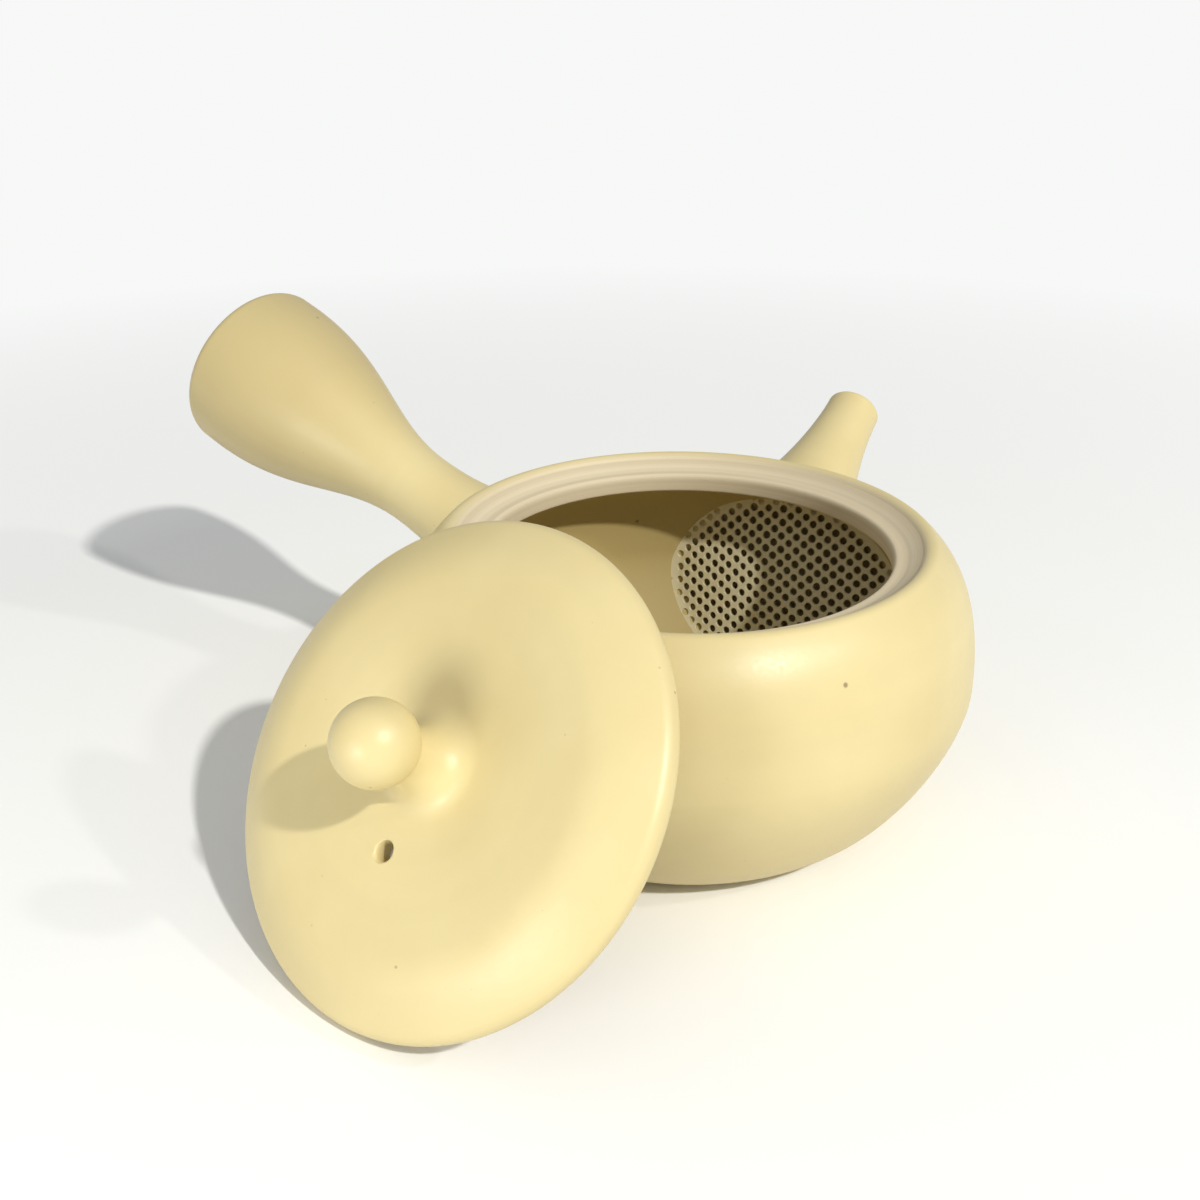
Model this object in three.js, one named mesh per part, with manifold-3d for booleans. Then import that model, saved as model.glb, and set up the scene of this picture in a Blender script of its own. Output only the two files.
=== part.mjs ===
// Kyusu: a small side-handled teapot of unglazed cream clay, with its lid taken off and leaned on the bowl.
// Millimetres, +Z up. The origin is the centre of the bowl's flat foot. The spout points along +X and the
// handle leaves the bowl a little under a quarter turn on from it, towards +Y.
// A pull is how far a curve keeps to its end's own direction before it bends away.
import * as THREE from 'three';
import { mergeGeometries, mergeVertices } from 'three/addons/utils/BufferGeometryUtils.js';
import Module from 'manifold-3d';

const wasm = await Module();
wasm.setup();

// Bowl: a flat foot with a small chamfer, a full belly, and a shoulder that turns in to a rounded crest
const footRadius = 29.4;
const footChamfer = 0.6;
const footPull = 7.7;
const bellyRadius = 46.85;
const bellyHeight = 24.9;
const lowerBellyPull = 7.2;
const upperBellyPull = 13;
const shoulderAngle = 47;
const shoulderPull = 5;
const crestHeight = 46.8;
const crestRadius = 38.6;
const crestRounding = 1.6;
const wall = 3;
const floorThickness = 3.6;

// Seat for the lid, turned inside the crest: a lapped cone, a narrow ledge and the lip below it
const seatAngle = 150;
const ledgeOuterRadius = 34.9;
const ledgeInnerRadius = 32.8;
const ledgeDepth = 2.3;
const lipHeight = 2.3;
const lipPull = 7;

// Clay joints and running fits
const luteGap = 0.3;
const lidPlay = 0.45;
const leanGap = 0.3;

// Spout: its axis leaves the middle of the bowl and rises towards the tip
const spoutRiseAngle = 28.6;
const spoutAxisHeight = 10.2;
const spoutReach = 79.6;
const spoutTipRadius = 5.1;
const spoutTipPull = 2;
const spoutRootRadius = 13.2;
const spoutRootReach = 44;
const spoutRootAngle = 113.6;
const spoutRootPull = 19.5;
const spoutWall = 1.5;
const pourHoleRadius = 7.6;
const borePull = 12;

// Handle: a hollow bulb on a narrow neck that flares out again where it meets the bowl
const handleTurnAngle = 82.8;
const handleRiseAngle = 19.5;
const handleAxisHeight = 19;
const handleReach = 110.7;
const handleBulbRadius = 16.3;
const handleBulbSetback = 4.7;
const handleBulbPull = 19;
const handleNeckRadius = 7;
const handleNeckReach = 63;
const handleNeckPull = 14.8;
const handleRootRadius = 12.6;
const handleRootReach = 40;
const handleRootAngle = 123;
const handleRootPull = 8.3;
const handleEndRounding = 2;
const handleMouthRadius = 10.2;
const handleMouthRounding = 0.6;
const handleWall = 3;

// Strainer: an oval dome of clay sheet that bulges into the bowl, pierced all over in staggered rows. The
// land is the plain margin round the pierced field.
const strainerTurnAngle = -1.6;
const strainerHeight = 22.5;
const strainerHalfWidth = 23.6;
const strainerHalfHeight = 17.1;
const strainerBulge = 4.4;
const strainerSheet = 1.6;
const strainerHole = 1.15;
const strainerColumnPitch = 1.21;
const strainerRowPitch = 1.17;
const strainerLand = 2.1;

// Lid, in its own frame with +Z out through the knob: a raised ring round a dished middle, and a flange below
const lidRadius = 36.7;
const lidEdgeRounding = 2.3;
const lidEdgeAngle = 58;
const lidRimPull = 3;
const lidRingRadius = 26;
const lidRingHeight = 5.4;
const lidRingPull = 4;
const lidDishHeight = 3.6;
const lidDishPull = 11;
const lidWall = 3;
const flangeDepth = 2.2;
const flangeWall = 2.3;
const flangeFillet = 3;
const ventRadius = 1.5;
const ventReach = 13;

// Knob: a ball on a waisted neck
const knobRadius = 6.1;
const knobHeight = 15;
const knobNeckRadius = 3.9;
const knobNeckPull = 2.4;
const knobFootRadius = 7.4;
const knobFootEdge = 0.8;
const knobFootPull = 2.5;

// How the lid leans on the bowl: the tilt of its axis, the way it lies from the pot and the way that it faces
const lidLeanAngle = 52;
const lidBearingAngle = 173;
const lidFacingAngle = 168;

// Facets
const bowlSides = 36;
const lidSides = 32;
const handleSides = 18;
const spoutSides = 14;
const knobSides = 14;
const ventSides = 8;
const holeSides = 5;
const holesPerCell = 4;

const radians = THREE.MathUtils.degToRad;
const upward = new THREE.Vector3(0, 0, 1);

const clay = new THREE.MeshStandardMaterial({ color: 0xdcc795, roughness: 0.62, metalness: 0 });
const shadedClay = new THREE.MeshStandardMaterial({ color: 0xcfc19b, roughness: 0.7, metalness: 0 });

// A point a distance away from another, in a direction measured from the +r direction
function toward([r, z], angle, distance) {
  return [r + distance * Math.cos(radians(angle)), z + distance * Math.sin(radians(angle))];
}

// Points on a cubic curve between two ends, each with the point that its tangent aims at
function sweep(start, startAim, endAim, end, steps) {
  const corners = [start, startAim, endAim, end].map(([r, z]) => new THREE.Vector2(r, z));
  const curve = new THREE.CubicBezierCurve(...corners);
  return curve.getPoints(steps).map((point) => [point.x, point.y]);
}

// Points on a round of an outline, from one angle to another
function round(centre, radius, fromAngle, toAngle, steps) {
  return Array.from({ length: steps + 1 }, (_, index) => {
    return toward(centre, fromAngle + ((toAngle - fromAngle) * index) / steps, radius);
  });
}

// The same outline moved sideways to its left by a distance
function offset(outline, distance) {
  return outline.map((point, index) => {
    const before = outline[Math.max(index - 1, 0)];
    const after = outline[Math.min(index + 1, outline.length - 1)];
    const along = new THREE.Vector2(after[0] - before[0], after[1] - before[1]).normalize();
    return [point[0] - along.y * distance, point[1] + along.x * distance];
  });
}

// A closed solid from a geometry, turned right side out where its outline ran the other way
function toSolid(source) {
  const bare = source.clone();
  bare.deleteAttribute('normal');
  bare.deleteAttribute('uv');
  const merged = mergeVertices(bare, 1e-4);
  const positions = merged.attributes.position;
  const corner = (index) => new THREE.Vector3().fromBufferAttribute(positions, index);
  const triangles = [];
  let volume = 0;
  for (let i = 0; i < merged.index.count; i += 3) {
    const [a, b, c] = [0, 1, 2].map((step) => merged.index.getX(i + step));
    if (a !== b && b !== c && c !== a) {
      triangles.push(a, b, c);
      volume += corner(a).dot(corner(b).cross(corner(c)));
    }
  }
  if (volume < 0) triangles.reverse();
  return new wasm.Manifold(
    new wasm.Mesh({
      numProp: 3,
      vertProperties: new Float32Array(positions.array),
      triVerts: new Uint32Array(triangles),
    }),
  );
}

function toGeometry(solid) {
  const mesh = solid.getMesh();
  const geometry = new THREE.BufferGeometry();
  geometry.setAttribute('position', new THREE.BufferAttribute(mesh.vertProperties, 3));
  geometry.setIndex(new THREE.BufferAttribute(mesh.triVerts, 1));
  geometry.computeVertexNormals();
  return geometry;
}

// A solid of revolution about +Z from an outline of radius and height
function revolve(outline, sides, placement) {
  const points = outline.map(([r, z]) => new THREE.Vector2(Math.max(r, 0), z));
  const geometry = new THREE.LatheGeometry(points, sides).rotateX(Math.PI / 2);
  if (placement) geometry.applyMatrix4(placement);
  return toSolid(geometry);
}

function makeMesh(name, solid, material) {
  const mesh = new THREE.Mesh(toGeometry(solid), material);
  mesh.name = name;
  return mesh;
}

// A frame whose +Z is an axis that leaves the pot's own axis at a height, turned about it and rising outwards
function radialFrame(turn, rise, height) {
  const frame = new THREE.Object3D();
  frame.rotation.set(0, radians(90 - rise), radians(turn), 'ZYX');
  frame.position.set(0, 0, height);
  frame.updateMatrix();
  return frame;
}

// Bowl outlines
const crestCentre = [crestRadius, crestHeight - crestRounding];
const ledgeHeight = crestHeight - ledgeDepth;

function bowlOutside() {
  const foot = [footRadius, footChamfer];
  const belly = [bellyRadius, bellyHeight];
  const shoulder = toward(crestCentre, shoulderAngle, crestRounding);
  const lower = sweep(foot, toward(foot, 0, footPull), toward(belly, -90, lowerBellyPull), belly, 6);
  const shoulderAim = toward(shoulder, shoulderAngle - 90, shoulderPull);
  const upper = sweep(belly, toward(belly, 90, upperBellyPull), shoulderAim, shoulder, 5);
  return [...lower, ...upper.slice(1)];
}

function bowlInside() {
  const lip = [ledgeInnerRadius, ledgeHeight - lipHeight];
  const belly = [bellyRadius - wall, bellyHeight];
  const floorEdge = [footRadius - floorThickness, floorThickness];
  const upper = sweep(lip, toward(lip, 0, lipPull), toward(belly, 90, upperBellyPull), belly, 4);
  const floorAim = toward(floorEdge, 0, footPull);
  const lower = sweep(belly, toward(belly, -90, lowerBellyPull), floorAim, floorEdge, 5);
  return [...upper, ...lower.slice(1)];
}

const bowlOuterLine = bowlOutside();
const bowlInnerLine = bowlInside();
const spoutFrame = radialFrame(0, spoutRiseAngle, spoutAxisHeight);
const handleFrame = radialFrame(handleTurnAngle, handleRiseAngle, handleAxisHeight);

// Everything inside the bowl's outer surface, grown by a distance
function bowlBulk(growth) {
  const line = offset(bowlOuterLine, -growth);
  const top = line[line.length - 1];
  return [[0, -growth], [line[0][0], -growth], ...line, [0, top[1]]];
}

// The space inside the bowl's inner surface, shrunk by a distance
function bowlHollow(shrink) {
  const line = offset(bowlInnerLine, -shrink);
  const top = line[0];
  const bottom = line[line.length - 1];
  return [[0, top[1]], ...line, [0, bottom[1]]];
}

function buildBowl() {
  const outline = [
    [0, 0],
    [footRadius - footChamfer, 0],
    ...bowlOuterLine,
    ...round(crestCentre, crestRounding, shoulderAngle, seatAngle, 3).slice(1),
    [ledgeOuterRadius, ledgeHeight],
    [ledgeInnerRadius, ledgeHeight],
    ...bowlInnerLine,
    [0, floorThickness],
  ];
  const pourHole = new THREE.CylinderGeometry(pourHoleRadius, pourHoleRadius, spoutRootReach, spoutSides);
  pourHole.rotateX(Math.PI / 2).translate(0, 0, spoutRootReach);
  pourHole.applyMatrix4(spoutFrame.matrix);
  return revolve(outline, bowlSides).subtract(toSolid(pourHole));
}

// Spout: outside from the root to the rounded lip, then back down the bore
function buildSpout() {
  const lipRounding = spoutWall / 2;
  const lipCentre = [spoutTipRadius - lipRounding, spoutReach - lipRounding];
  const root = [spoutRootRadius, spoutRootReach];
  const tip = [spoutTipRadius, lipCentre[1]];
  const boreTip = [spoutTipRadius - spoutWall, lipCentre[1]];
  const boreRoot = [pourHoleRadius, spoutRootReach];
  const rootAim = toward(root, spoutRootAngle, spoutRootPull);
  const outside = sweep(root, rootAim, toward(tip, -90, spoutTipPull), tip, 7);
  const lip = round(lipCentre, lipRounding, 0, 180, 4);
  const bore = sweep(boreTip, toward(boreTip, -90, borePull), toward(boreRoot, 90, borePull), boreRoot, 5);
  const outline = [...outside, ...lip.slice(1), ...bore.slice(1), root];
  const intoSpout = spoutFrame.matrix.clone().invert();
  return revolve(outline, spoutSides).subtract(revolve(bowlBulk(luteGap), bowlSides, intoSpout));
}

// Handle: neck, bulb and a rounded end that turns in to the open mouth, then back down the hollow
function buildHandle() {
  const endCentre = [handleBulbRadius - handleEndRounding, handleReach - handleEndRounding];
  const root = [handleRootRadius, handleRootReach];
  const neck = [handleNeckRadius, handleNeckReach];
  const bulb = [handleBulbRadius, handleReach - handleBulbSetback];
  const hollowNeck = [handleNeckRadius - handleWall, handleNeckReach];
  const hollowBulb = [handleBulbRadius - handleWall, handleReach - 2 * handleWall];
  const rootAim = toward(root, handleRootAngle, handleRootPull);
  const outline = [
    ...sweep(root, rootAim, toward(neck, -90, handleRootPull), neck, 4),
    ...sweep(neck, toward(neck, 90, handleNeckPull), toward(bulb, -90, handleBulbPull), bulb, 7).slice(1),
    ...round(endCentre, handleEndRounding, 0, 90, 4),
    [handleMouthRadius, handleReach - handleMouthRounding],
    [handleMouthRadius, handleReach - handleWall],
    ...sweep(
      hollowBulb,
      toward(hollowBulb, -90, handleBulbPull),
      toward(hollowNeck, 90, handleNeckPull),
      hollowNeck,
      4,
    ),
    [hollowNeck[0], handleRootReach],
    root,
  ];
  const intoHandle = handleFrame.matrix.clone().invert();
  return revolve(outline, handleSides).subtract(revolve(bowlBulk(luteGap), bowlSides, intoHandle));
}

// The bowl's inner radius at a height
function innerRadiusAt(height) {
  const index = bowlInnerLine.findIndex(([, z]) => z < height);
  const [above, below] = [bowlInnerLine[index - 1], bowlInnerLine[index]];
  return THREE.MathUtils.mapLinear(height, below[1], above[1], below[0], above[0]);
}

// Strainer: its top and bottom margins lie on the bowl's wall, which gives its tilt, and its bows are such
// that the oval's four ends meet the wall. In its own frame +X is outwards and +Z is up.
const wallAbove = innerRadiusAt(strainerHeight + strainerHalfHeight);
const wallBelow = innerRadiusAt(strainerHeight - strainerHalfHeight);
const wallAside = Math.sqrt(innerRadiusAt(strainerHeight) ** 2 - strainerHalfWidth ** 2);
const strainerReach = (wallAbove + wallBelow) / 2 - strainerBulge;
const strainerTilt = Math.atan2(wallAbove - wallBelow, 2 * strainerHalfHeight);
const bowAcross = (wallAside - strainerReach) / strainerHalfWidth ** 2;
const bowUp = strainerBulge / strainerHalfHeight ** 2;

const strainerTurned = new THREE.Object3D();
strainerTurned.rotation.set(0, strainerTilt, radians(strainerTurnAngle), 'ZYX');
strainerTurned.position.set(strainerReach, 0, strainerHeight);
strainerTurned.position.applyAxisAngle(upward, radians(strainerTurnAngle));
strainerTurned.updateMatrix();

function strainerBow(across, up) {
  return bowAcross * across ** 2 + bowUp * up ** 2;
}

// A bent sheet on a grid whose lines and diagonals run between the holes, so that no facet's edge crosses one
function bentSheet() {
  const cellWidth = holesPerCell * strainerColumnPitch;
  const cellHeight = holesPerCell * strainerRowPitch;
  const halfColumns = Math.ceil(strainerHalfWidth / cellWidth) + 1;
  const halfRows = Math.ceil(strainerHalfHeight / cellHeight) + 1;
  const columns = 2 * halfColumns + 1;
  const rows = 2 * halfRows + 1;
  const vertices = [];
  for (const depth of [0, strainerSheet]) {
    for (let row = 0; row < rows; row += 1) {
      for (let column = 0; column < columns; column += 1) {
        const across = (column - halfColumns) * cellWidth;
        const up = (row - halfRows) * cellHeight;
        vertices.push(strainerBow(across, up) + depth, across, up);
      }
    }
  }
  const point = (layer, row, column) => (layer * rows + row) * columns + column;
  const back = columns * rows;
  const faces = [];
  for (let row = 0; row + 1 < rows; row += 1) {
    for (let column = 0; column + 1 < columns; column += 1) {
      const [a, b] = [point(0, row, column), point(0, row, column + 1)];
      const [c, d] = [point(0, row + 1, column), point(0, row + 1, column + 1)];
      faces.push(a, c, b, b, c, d);
      faces.push(a + back, b + back, c + back, b + back, d + back, c + back);
    }
  }
  const border = [];
  for (let column = 0; column + 1 < columns; column += 1) border.push([0, column]);
  for (let row = 0; row + 1 < rows; row += 1) border.push([row, columns - 1]);
  for (let column = columns - 1; column > 0; column -= 1) border.push([rows - 1, column]);
  for (let row = rows - 1; row > 0; row -= 1) border.push([row, 0]);
  border.forEach(([row, column], index) => {
    const [nextRow, nextColumn] = border[(index + 1) % border.length];
    const [a, b] = [point(0, row, column), point(0, nextRow, nextColumn)];
    faces.push(a, b, a + back, b, b + back, a + back);
  });
  const geometry = new THREE.BufferGeometry();
  geometry.setAttribute('position', new THREE.Float32BufferAttribute(vertices, 3));
  geometry.setIndex(faces);
  return geometry;
}

// The punches for the holes, every other crossing of the rows and columns, inside the oval less its land
function strainerPunches() {
  const punches = [];
  const holeRadius = strainerHole / 2;
  const columnLimit = Math.ceil(strainerHalfWidth / strainerColumnPitch);
  const rowLimit = Math.ceil(strainerHalfHeight / strainerRowPitch);
  const widthLimit = strainerHalfWidth - strainerLand;
  const heightLimit = strainerHalfHeight - strainerLand;
  for (let column = -columnLimit; column <= columnLimit; column += 1) {
    for (let row = -rowLimit; row <= rowLimit; row += 1) {
      const across = (column + 0.5) * strainerColumnPitch;
      const up = (row + 0.5) * strainerRowPitch;
      const inside = Math.hypot(across / widthLimit, up / heightLimit) < 1;
      if ((column + row) % 2 !== 0 || !inside) continue;
      const punch = new THREE.CylinderGeometry(holeRadius, holeRadius, 2 * strainerSheet, holeSides);
      punch.rotateZ(Math.PI / 2);
      punch.translate(strainerBow(across, up) + strainerSheet / 2, across, up);
      punches.push(punch);
    }
  }
  return mergeGeometries(punches);
}

function buildStrainer() {
  const intoStrainer = strainerTurned.matrix.clone().invert();
  const inside = revolve(bowlHollow(luteGap), bowlSides, intoStrainer);
  return toSolid(bentSheet()).subtract(toSolid(strainerPunches())).intersect(inside);
}

// Lid outlines: the top from the middle to the edge's rounding, and the whole section
const lidEdgeCentre = [lidRadius - lidEdgeRounding, 0];

function lidTop() {
  const middle = [0, lidDishHeight];
  const ring = [lidRingRadius, lidRingHeight];
  const rim = toward(lidEdgeCentre, lidEdgeAngle, lidEdgeRounding);
  const dish = sweep(middle, toward(middle, 0, lidDishPull), toward(ring, 180, lidDishPull), ring, 5);
  const crown = sweep(ring, toward(ring, 0, lidRingPull), toward(rim, lidEdgeAngle + 90, lidRimPull), rim, 3);
  return [...dish, ...crown.slice(1)];
}

function lidOutline() {
  const top = lidTop();
  const flangeOuter = ledgeInnerRadius - lidPlay;
  const flangeInner = flangeOuter - flangeWall;
  const restHeight = -lidEdgeRounding;
  const underside = offset(top, -lidWall).filter(([r]) => r > 0 && r < flangeInner - flangeFillet);
  return [
    ...top,
    ...round(lidEdgeCentre, lidEdgeRounding, lidEdgeAngle, -90, 5).slice(1),
    [flangeOuter, restHeight],
    [flangeOuter, restHeight - flangeDepth],
    [flangeInner, restHeight - flangeDepth],
    [flangeInner, restHeight],
    ...underside.reverse(),
    [0, lidDishHeight - lidWall],
  ];
}

function buildLid() {
  const vent = new THREE.CylinderGeometry(ventRadius, ventRadius, 4 * lidWall, ventSides);
  vent.rotateX(Math.PI / 2).translate(ventReach, 0, lidDishHeight);
  return revolve(lidOutline(), lidSides).subtract(toSolid(vent));
}

// Knob: a foot cut to follow the lid's dish, a waisted neck and the ball
function buildKnob() {
  const neckAngle = -THREE.MathUtils.radToDeg(Math.acos(knobNeckRadius / knobRadius));
  const ball = round([0, knobHeight], knobRadius, neckAngle, 90, 7);
  const footEdge = [knobFootRadius, lidDishHeight + luteGap + knobFootEdge];
  const footAim = toward(footEdge, 180, knobFootPull);
  const neck = sweep(footEdge, footAim, toward(ball[0], -90, knobNeckPull), ball[0], 4);
  const blank = [[0, lidDishHeight], [knobFootRadius, lidDishHeight], ...neck, ...ball.slice(1)];
  const lidSurface = lidTop().filter(([r]) => r <= lidRingRadius).reverse();
  const lidBulk = [[0, 0], [lidRingRadius, 0], ...lidSurface.map(([r, z]) => [r, z + luteGap])];
  return revolve(blank, knobSides).subtract(revolve(lidBulk, lidSides));
}

// The distance from the bowl's outside, less than nothing inside it. The bowl is a solid of revolution, so it
// is measured in the plane of radius and height.
const bowlSkin = [...bowlOuterLine, ...round(crestCentre, crestRounding, shoulderAngle, 90, 4).slice(1)];

function distanceToBowl(radius, height) {
  let nearest = Infinity;
  for (let i = 0; i + 1 < bowlSkin.length; i += 1) {
    const [startR, startZ] = bowlSkin[i];
    const alongR = bowlSkin[i + 1][0] - startR;
    const alongZ = bowlSkin[i + 1][1] - startZ;
    const reach = (radius - startR) * alongR + (height - startZ) * alongZ;
    const share = THREE.MathUtils.clamp(reach / (alongR ** 2 + alongZ ** 2), 0, 1);
    const awayR = radius - startR - share * alongR;
    const awayZ = height - startZ - share * alongZ;
    const distance = Math.hypot(awayR, awayZ);
    const outward = alongR * awayZ - alongZ * awayR < 0 ? 1 : -1;
    if (distance < Math.abs(nearest)) nearest = outward * distance;
  }
  return nearest;
}

// Where the leaned lid comes to rest: its lowest edge on the table, and its underside a gap away from the
// bowl. The search halves the stretch between a place where it would cut into the bowl and one well clear.
function leanedLidFrame() {
  const frame = new THREE.Object3D();
  frame.rotation.set(0, radians(lidLeanAngle), radians(lidFacingAngle), 'ZYX');
  const ringSteps = 120;
  const skin = [];
  for (const [r, z] of lidOutline()) {
    for (let i = 0; i < ringSteps; i += 1) {
      const angle = (2 * Math.PI * i) / ringSteps;
      skin.push(new THREE.Vector3(r * Math.cos(angle), r * Math.sin(angle), z).applyEuler(frame.rotation));
    }
  }
  const height = -Math.min(...skin.map((point) => point.z));
  const bearing = new THREE.Vector3(1, 0, 0).applyAxisAngle(upward, radians(lidBearingAngle));
  const cuts = (away) => skin.some((point) => {
    const radius = Math.hypot(point.x + away * bearing.x, point.y + away * bearing.y);
    return distanceToBowl(radius, point.z + height) < leanGap;
  });
  let near = crestRadius;
  let far = bellyRadius + 2 * lidRadius;
  for (let i = 0; i < 20; i += 1) {
    const middle = (near + far) / 2;
    if (cuts(middle)) near = middle;
    else far = middle;
  }
  frame.position.copy(bearing).multiplyScalar(far).setZ(height);
  return frame;
}

const kyusu = new THREE.Group();

spoutFrame.add(makeMesh('spout', buildSpout(), clay));
handleFrame.add(makeMesh('handle', buildHandle(), clay));
strainerTurned.add(makeMesh('strainer', buildStrainer(), shadedClay));
kyusu.add(makeMesh('bowl', buildBowl(), clay), spoutFrame, handleFrame, strainerTurned);

const leanedLid = leanedLidFrame();
leanedLid.add(makeMesh('lid', buildLid(), clay), makeMesh('knob', buildKnob(), clay));
kyusu.add(leanedLid);

export default kyusu;
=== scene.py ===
import math

import bmesh
import bpy
import numpy as np
from mathutils import Matrix, Vector


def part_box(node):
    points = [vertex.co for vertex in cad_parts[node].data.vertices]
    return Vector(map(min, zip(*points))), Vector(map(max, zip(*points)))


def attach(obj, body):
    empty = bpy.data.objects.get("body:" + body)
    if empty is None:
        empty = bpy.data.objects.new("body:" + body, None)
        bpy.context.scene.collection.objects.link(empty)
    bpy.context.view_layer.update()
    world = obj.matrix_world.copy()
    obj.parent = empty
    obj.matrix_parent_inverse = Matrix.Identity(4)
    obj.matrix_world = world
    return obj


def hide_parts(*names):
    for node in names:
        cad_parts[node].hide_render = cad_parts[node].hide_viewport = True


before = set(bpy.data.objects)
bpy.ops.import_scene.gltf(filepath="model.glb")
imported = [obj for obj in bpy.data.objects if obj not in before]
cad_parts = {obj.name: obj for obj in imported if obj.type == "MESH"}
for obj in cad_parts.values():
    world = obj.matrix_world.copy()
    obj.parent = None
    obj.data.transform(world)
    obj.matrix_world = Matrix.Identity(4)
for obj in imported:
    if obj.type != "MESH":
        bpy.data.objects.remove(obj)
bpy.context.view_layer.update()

MM = 0.001
bowl_high = Vector(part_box("bowl")[1]) / MM

# Points nearer than this, in metres, are one. A ring smaller than this is a pole.
weld_distance = 1e-7
pole_radius = 1e-6

# Bowl
foot_radius = 29.4
foot_chamfer = 0.6
foot_flat_radius = 27.9
foot_rounding = 0.4
foot_pull = 7.7
belly_radius = bowl_high.x
belly_height = 24.9
belly_pull_down = 7.2
belly_pull_up = 13
crest_height = bowl_high.z
crest_radius = 38.6
crest_rounding = 1.6
shoulder_angle = 47
shoulder_pull = 5
wall = 3.0
floor_thickness = 3.6
bowl_sides = 256

# The lid's seat, from the crest down a lapped cone to the ledge, and the lip below it. The cone stops short
# of the ledge's corner, which is rounded.
seat_angle = 150
ledge_outer_radius = 34.9
ledge_inner_radius = 32.8
ledge_depth = 2.3
cone_end_angle = 40
cone_end_distance = 0.8
ledge_rounding = 1.0
lip_height = 3.3
lip_rounding = 0.6
lip_underside = 3
lip_pull = 7

# Spout. Its tail leads its outer profile on into the bowl.
spout_rise = 28.6
spout_axis_height = 10.2
spout_reach = 79.6
spout_tip_radius = 5.1
spout_tip_pull = 2
spout_wall = 1.5
spout_root_radius = 13.2
spout_root_reach = 44
spout_root_angle = 113.6
spout_root_pull = 19.5
spout_tail = ((1.5, -3), (3, -8))
spout_bore_pull = 12
spout_blend = 1.6
pour_hole_radius = 7.6
pour_hole_ends = (-12, 1.5)
spout_bore_start = 8

# Handle. It too has a tail, and its hollow is led to its mouth over a shelf.
handle_turn = 82.8
handle_rise = 19.5
handle_axis_height = 19
handle_reach = 110.7
handle_bulb_radius = 16.3
handle_bulb_reach = 106
handle_bulb_pull = 19
handle_neck_radius = 7.0
handle_neck_reach = 63
handle_neck_pull = 14.8
handle_root_radius = 12.6
handle_root_reach = 40
handle_root_angle = 123
handle_flare_pull = 8.3
handle_tail = (4, -4)
handle_end_rounding = 2.0
handle_mouth_radius = 10.2
handle_mouth_rounding = 0.9
handle_shelf_rounding = 1.2
handle_wall = 3.0
handle_bore_start = 30
handle_blend = 1.8
# Along the handle from its neck, the length over which its painted shade deepens
handle_dusk_length = 25

# How the spout and the handle are luted to the bowl. What sinks goes under the bowl's skin.
luted_sides = 128
outer_ring_count = 90
outer_ring_crowding = 1.4
mouth_rings_kept = 5
skirt_length = 9.0
skirt_shortest = 0.8
skirt_least_climb = 0.05
skirt_rows = 24
skirt_sink = 0.03
skirt_sink_rings = 20
skirt_edge_sink = 0.12
crest_clearance = 0.9
closing_sink = 1.2
closing_ring_count = 16
clean_mouth_rings = 13
raw_shade_fade_rings = 4

# Strainer
strainer_turn = -2.3
strainer_tilt = 15
strainer_height = 22.5
strainer_reach = 35.75
strainer_half_width = 23
strainer_half_height = 16.2
bow_across = 0.0018
bow_up = 0.003
strainer_sheet = 1.2
strainer_blend = 1.0
margin_sink = 0.1
margin_fade = 0.6
strainer_sharp_angle = 35

# Its holes, pierced in staggered rows: each ring of a hole has a share of the radius and a depth
hole_radius = 0.7
hole_scatter = 0.03
scatter_seed = 7
column_pitch = 1.517
row_pitch = 1.251
pierced_turn = -7.5
pierced_start = (0.7, 0.2)
spare_cells = 5
cell_steps = 6
open_hole = ((1.05, 0.0), (1.0, 0.04), (0.98, 0.6), (1.0, strainer_sheet - 0.1), (1.1, strainer_sheet))
clogged_hole = ((1.0, 0.0), (0.85, 0.5), (0.6, 0.9), (0.3, 1.0))
clogged_depth = 0.15
clogged_deepening = 0.5
# The depth at which the painted shade on a hole's walls is full
raw_hole_depth = 0.4

# How near to the bowl's wall a hole can stand and be open, be clogged, or have its cell kept
open_hole_room = 0.4
clogged_hole_room = -0.15
cell_room = -1.1

# Lid and knob
lid_radius = 36.7
lid_edge_rounding = 2.3
lid_edge_angle = 58
lid_ring_radius = 26
lid_ring_height = 5.4
lid_dish_height = 3.6
lid_dish_pull = 11
crown_ring_pull = 4
crown_rim_pull = 3
lid_wall = 3.0
lid_under_pull = 9
lid_under_drop = 0.1
lid_play = 0.45
lid_sides = 256
flange_depth = 2.2
flange_wall = 2.3
flange_roundings = (0.4, 0.6, 0.6)
cove_width = 3
cove_pull = 3
cove_end_pull = 2
vent_radius = 1.5
vent_reach = 13
vent_flare = ((0.5, 1), (0.3, 0.2), (0.1, -0.05), (0, -0.3))
vent_overshoot = 2
cutter_sides = 48
knob_radius = 6.1
knob_height = 15
knob_neck_radius = 3.9
knob_neck_pull = 3.4
knob_foot_radius = 8.4
knob_foot_gap = 0.3
lid_lean = 52
lid_facing = 168
lid_centre = (-57.17, 7.02, 29.36)

# Masks: how far past their parts the unburnished inside, darker also as painted shade, and the lapped seat
# reach
raw_skin = 0.4
raw_margin = 0.2
raw_clearance = 1
lap_start = 0.2
lap_fade = 1.3
lap_margin = 0.1

# Camera and lamps, fitted to the photograph. The lamps are in metres.
camera_place = (-201.46, -103.54, 137.2)
camera_forward = (0.78237, 0.46551, -0.41377)
camera_right = (0.51163, -0.8592, 0.00077)
camera_lens = 45.5
key_place = 2.4 * Vector((-0.265, -0.692, 0.672))
second_place = Vector((0.075, -0.769, 0.635))
sun_target = (0, 0, 0.03)
sun_colour = (1.0, 0.985, 0.95)
window_place = (-0.36, 0.035, 0.05)
window_target = (-0.057, 0.007, 0.042)


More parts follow.
